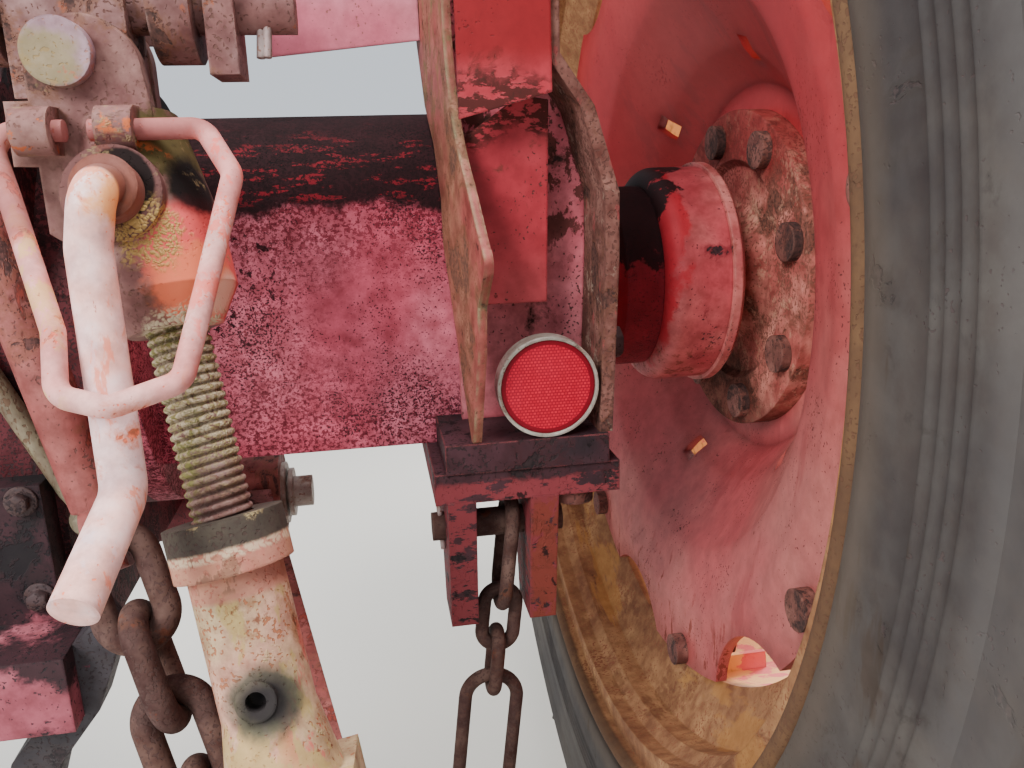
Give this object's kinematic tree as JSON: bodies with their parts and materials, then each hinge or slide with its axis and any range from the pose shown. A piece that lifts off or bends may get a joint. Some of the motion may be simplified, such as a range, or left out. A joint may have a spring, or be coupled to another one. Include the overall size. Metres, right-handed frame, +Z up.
{
  "type": "tractor rear axle end with wheel and hitch linkage",
  "caption": "Rear axle end of a farm tractor: axle housing, dished wheel with lugged tyre, fender post, lift arm, levelling rod with crank, lower link and chains.",
  "frame": {"origin": "centre of the centre housing's left-hand axle flange, on the wheel axis", "axes": "+X outboard along the wheel axis to the tractor's right, +Y forward, +Z up"},
  "size_m": [1.0334, 1.4293, 1.26],
  "materials": {
    "housing_red": "worn faded red paint with grease",
    "sheet_red": "faded red paint",
    "plate_worn": "worn paint over rust",
    "bracket_black": "black grease over red paint",
    "linkage_red": "chalky red paint over rust",
    "bare_steel": "dull rusty steel",
    "rust": "brown rust",
    "rim_rust": "golden rust",
    "tyre": "dusty black rubber",
    "reflector_ring": "dull bright metal",
    "reflector_red": "prismatic red plastic"
  },
  "bodies": {
    "root": {"centre_housing": "housing_red", "power_shaft_cap": "housing_red", "lift_cover": "housing_red", "link_front_pin": "bare_steel", "axle_housing": "housing_red", "bearing_bell": "housing_red", "bell_cover_ring": "housing_red", "post_inner_plate": "plate_worn", "post_web": "sheet_red", "post_outer_strip": "plate_worn", "skirt_lower_plate": "sheet_red", "skirt_upper_plate": "sheet_red", "fender_panel": "sheet_red", "reflector_cup": "reflector_ring", "reflector_lens": "reflector_red", "bracket_base": "bracket_black", "bracket_clamp": "bracket_black", "clamp_bolts": "bracket_black", "chain_pin": "bare_steel", "drawbar_hanger": "bracket_black", "drawbar_cross_bar": "bracket_black", "drawbar_hook_arm": "bracket_black"},
    "wheel": {"half_shaft": "rust", "wheel_bolts": "rust", "wheel_disc": "sheet_red", "rim_bolts": "rust", "wheel_rim": "rim_rust", "tyre": "tyre"},
    "power_shaft": {"power_shaft": "bare_steel"},
    "lift_arm": {"lift_cross_shaft": "bare_steel", "lift_arm": "linkage_red", "lift_arm_pin": "bare_steel", "lift_pin_strap": "linkage_red"},
    "levelling_rod": {"rod_knuckle": "linkage_red", "rod_swivel_pin": "bare_steel", "levelling_box": "linkage_red", "levelling_crank": "linkage_red", "lift_screw": "bare_steel", "lift_tube": "linkage_red", "hitch_pull_rod": "linkage_red", "hitch_chain": "rust"},
    "bail": {"crank_bail": "linkage_red"},
    "lower_link": {"lower_link": "linkage_red", "link_front_ball": "bare_steel", "link_rear_ball": "bare_steel", "drop_pin": "bare_steel"},
    "check_chain": {"check_chain": "rust"}
  },
  "joints": [
    {"name": "wheel_spin", "type": "hinge", "parent": "root", "child": "wheel", "pos_m": [0.74, 0, 0], "axis": [1, 0, 0], "continuous": true},
    {"name": "power_shaft_spin", "type": "hinge", "parent": "root", "child": "power_shaft", "pos_m": [0.19, -0.18, -0.04], "axis": [0, -1, 0], "continuous": true},
    {"name": "lift_raise", "type": "hinge", "parent": "root", "child": "lift_arm", "pos_m": [0.19, 0.06, 0.26], "axis": [-1, 0, 0], "range_deg": [-4, 32]},
    {"name": "rod_swing", "type": "hinge", "parent": "lift_arm", "child": "levelling_rod", "pos_m": [0.411, -0.185, 0.157], "axis": [-1, 0, 0], "range_deg": [-36, 8]},
    {"name": "link_raise", "type": "hinge", "parent": "root", "child": "lower_link", "pos_m": [0.422, 0.13, -0.2], "axis": [-1, 0, 0], "range_deg": [-5, 22]},
    {"name": "bail_swing", "type": "hinge", "parent": "levelling_rod", "child": "bail", "pos_m": [0.414, -0.222, 0.103], "axis": [-1, 0, 0], "range_deg": [0, 110]},
    {"name": "chain_swing", "type": "hinge", "parent": "root", "child": "check_chain", "pos_m": [0.609, -0.125, -0.136], "axis": [1, 0, 0], "range_deg": [-30, 30]}
  ],
  "couplings": [
    {"joint": "rod_swing", "follows": "lift_raise", "ratio": -1.02},
    {"joint": "link_raise", "follows": "lift_raise", "ratio": 0.565}
  ]
}
